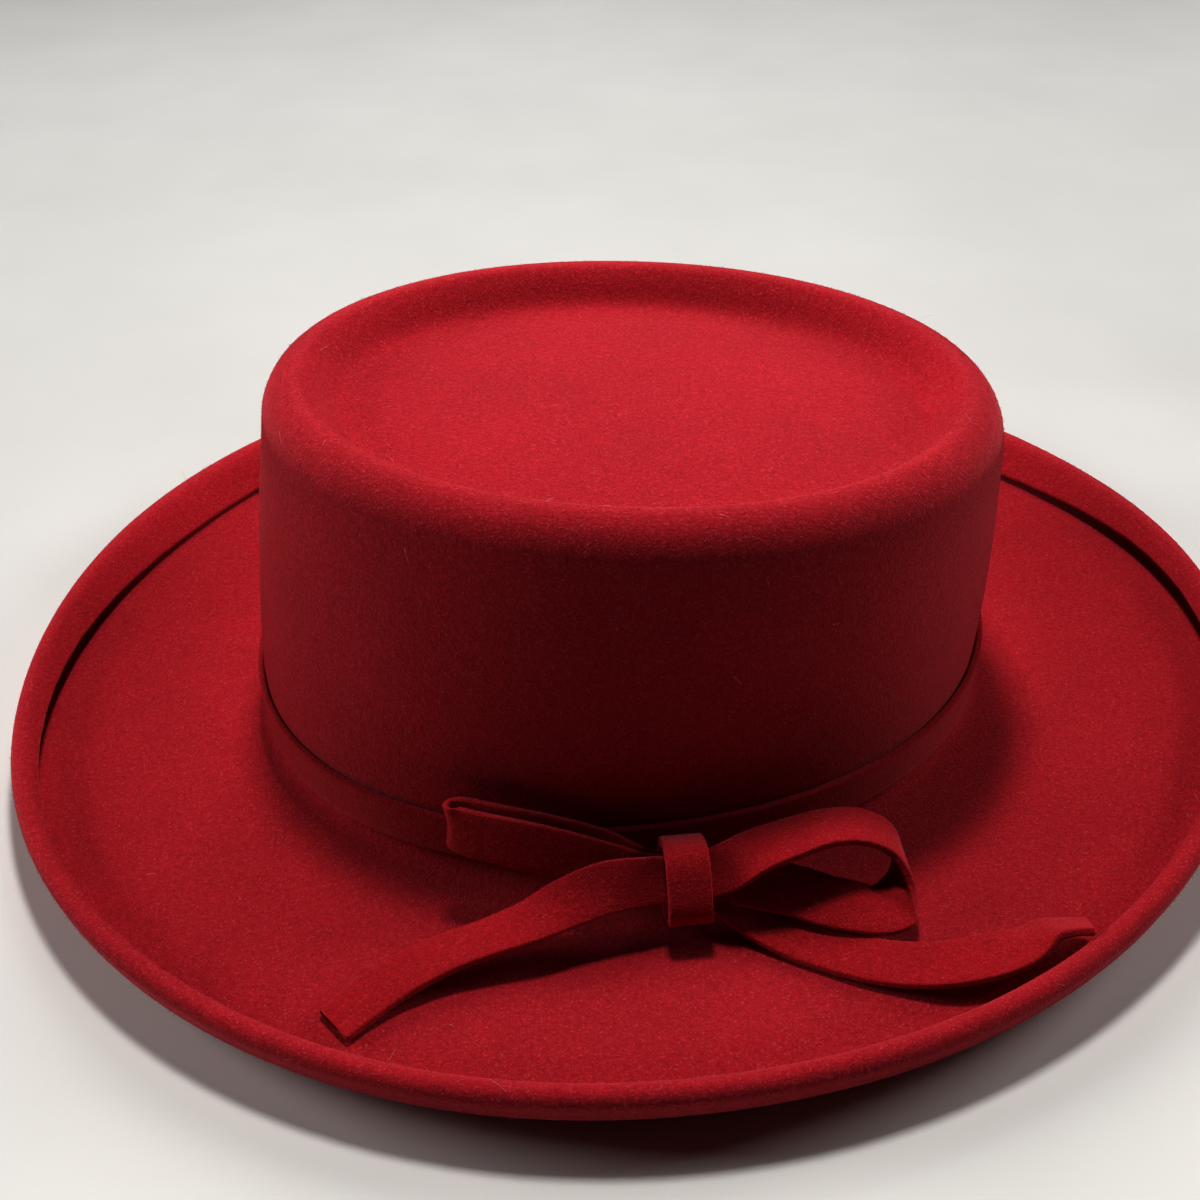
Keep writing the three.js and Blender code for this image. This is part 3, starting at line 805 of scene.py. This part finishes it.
# Bow strips: CAD node, stations, random seed, and how the strip is held.
strips = (
    ("bow_loop_left", LOOP_LEFT, 21, "folded"),
    ("bow_loop_right", LOOP_RIGHT, 22, "folded"),
    ("bow_tail_left", TAIL_LEFT, 23, "laid"),
    ("bow_tail_right", TAIL_RIGHT, 24, "laid"),
)
for node, stations, seed, held in strips:
    points, faces, strip_rings, length = bent_strip(stations, seed)
    piece = felt_piece(node + "_felt", points, faces, node, trim)
    bow_patches.append((strip_rings[::-1], False, np.ones(len(strip_rings))))
points, faces, knot_rings = knot()
knot_piece = felt_piece("bow_knot_felt", points, faces, "bow_knot", trim)
bow_patches.append((knot_rings, True, np.ones(len(knot_rings))))

height = rings[..., 2].mean(axis=1)
radius = np.hypot(rings[..., 0], rings[..., 1]).mean(axis=1)
rolled = radius > ROLL_FROM_RADIUS
rim = (height > RIM_FROM_HEIGHT) & (radius > RIM_FROM_RADIUS)
hidden = (np.arange(len(rings)) >= upper_rows) & ~rolled
on_crown = height > BAND["top"] + BRIM_FILLET
cover = np.where(hidden, NAP_HIDDEN, np.where(rolled | rim, NAP_EDGES, NAP_SMOOTH))
nap("crown_nap", [(rings, False, cover * on_crown)], CROWN_NAP, fuzz)
nap("brim_nap", [(rings, False, cover * ~on_crown * ~rolled)], BRIM_NAP, fuzz)
nap("roll_nap", [(rings, False, cover * rolled)], ROLL_NAP, fuzz)
bow_patches.append((band_rings, True, np.full(len(band_rings), NAP_SMOOTH)))
nap("bow_nap", bow_patches, BOW_NAP, fuzz)
nap("stray_hairs", [(rings, False, np.where(hidden, 0, cover))], STRAY_HAIRS, hair)

# ---------------------------------------------------------------- floor, light, camera
# Camera: place about the row's origin, turns in degrees, and lens.
CAMERA = {
    "place_mm": (-32.45, -294.57, 266.6),
    "down": 39.34,
    "right": 4.66,
    "roll": -1.13,
    "lens_mm": 39.0,
    "sensor_mm": 36.0,
}

# Square lamps: name, direction from the hat, distance and size in metres, and power in watts.
LAMPS = (
    ("key", (0.0, 0.18, 0.98), 0.6, 0.08, 3.0),
    ("back", (0.0, 0.72, 0.7), 1.1, 0.4, 3.6),
    ("left", (-0.92, 0.2, 0.38), 1.2, 0.5, 9),
    ("right", (0.9, 0.2, 0.42), 1.2, 0.5, 8),
)
LIGHT_COLOUR = (1.0, 0.99, 0.97)

# Height above the floor of the point that the lamps face, in metres.
AIM_HEIGHT = 0.05

# Faint light from all round, and a gamma under 1, which deepens the shades.
ROOM_STRENGTH = 0.01
VIEW_GAMMA = 0.7

# Half width of the floor in metres, and its squares along each side.
FLOOR_REACH = 4.0
FLOOR_SQUARES = 8


def camera():
    """The camera at the photo's viewing angle."""
    down, right, roll = (math.radians(CAMERA[k]) for k in ("down", "right", "roll"))
    ahead = Vector((math.sin(right) * math.cos(down), math.cos(right) * math.cos(down), -math.sin(down)))
    level = Vector((math.cos(right), -math.sin(right), 0))
    above = level.cross(ahead)
    x_axis = level * math.cos(roll) + above * math.sin(roll)
    y_axis = above * math.cos(roll) - level * math.sin(roll)
    data = bpy.data.cameras.new("camera")
    data.sensor_fit = "HORIZONTAL"
    data.sensor_width = CAMERA["sensor_mm"]
    data.lens = CAMERA["lens_mm"]
    data.clip_start = 0.01
    item = bpy.data.objects.new("camera", data)
    bpy.context.scene.collection.objects.link(item)
    turn = Matrix((x_axis, y_axis, -ahead)).transposed().to_4x4()
    item.matrix_world = Matrix.Translation(Vector(CAMERA["place_mm"]) * MM) @ turn
    bpy.context.scene.camera = item


def lamp(name, towards, distance, size, power):
    """A square soft light that faces the hat from the given direction."""
    data = bpy.data.lights.new(name, "AREA")
    data.shape = "SQUARE"
    data.size = size
    data.energy = power
    data.color = LIGHT_COLOUR
    item = bpy.data.objects.new(name, data)
    bpy.context.scene.collection.objects.link(item)
    away = Vector(towards).normalized()
    item.rotation_mode = "QUATERNION"
    item.rotation_quaternion = away.to_track_quat("Z", "Y")
    item.location = away * distance + Vector((0, 0, AIM_HEIGHT))


def floor():
    """A wide flat floor under the hat, in squares."""
    mesh = bpy.data.meshes.new("floor")
    ticks = np.linspace(-FLOOR_REACH, FLOOR_REACH, FLOOR_SQUARES + 1)
    corners = [(x, y, 0) for y in ticks for x in ticks]
    row = len(ticks)
    squares = []
    for r in range(FLOOR_SQUARES):
        for c in range(FLOOR_SQUARES):
            near, far = r * row + c, (r + 1) * row + c
            squares.append((near, near + 1, far + 1, far))
    mesh.from_pydata(corners, [], squares)
    mesh.materials.append(floor_material())
    item = bpy.data.objects.new("floor", mesh)
    bpy.context.scene.collection.objects.link(item)


world = bpy.data.worlds.new("room")
world.use_nodes = True
room = world.node_tree.nodes["Background"]
room.inputs["Color"].default_value = (*LIGHT_COLOUR, 1)
room.inputs["Strength"].default_value = ROOM_STRENGTH
bpy.context.scene.world = world
bpy.context.scene.view_settings.view_transform = "Standard"
bpy.context.scene.view_settings.gamma = VIEW_GAMMA

for spec in LAMPS:
    lamp(*spec)
floor()
camera()
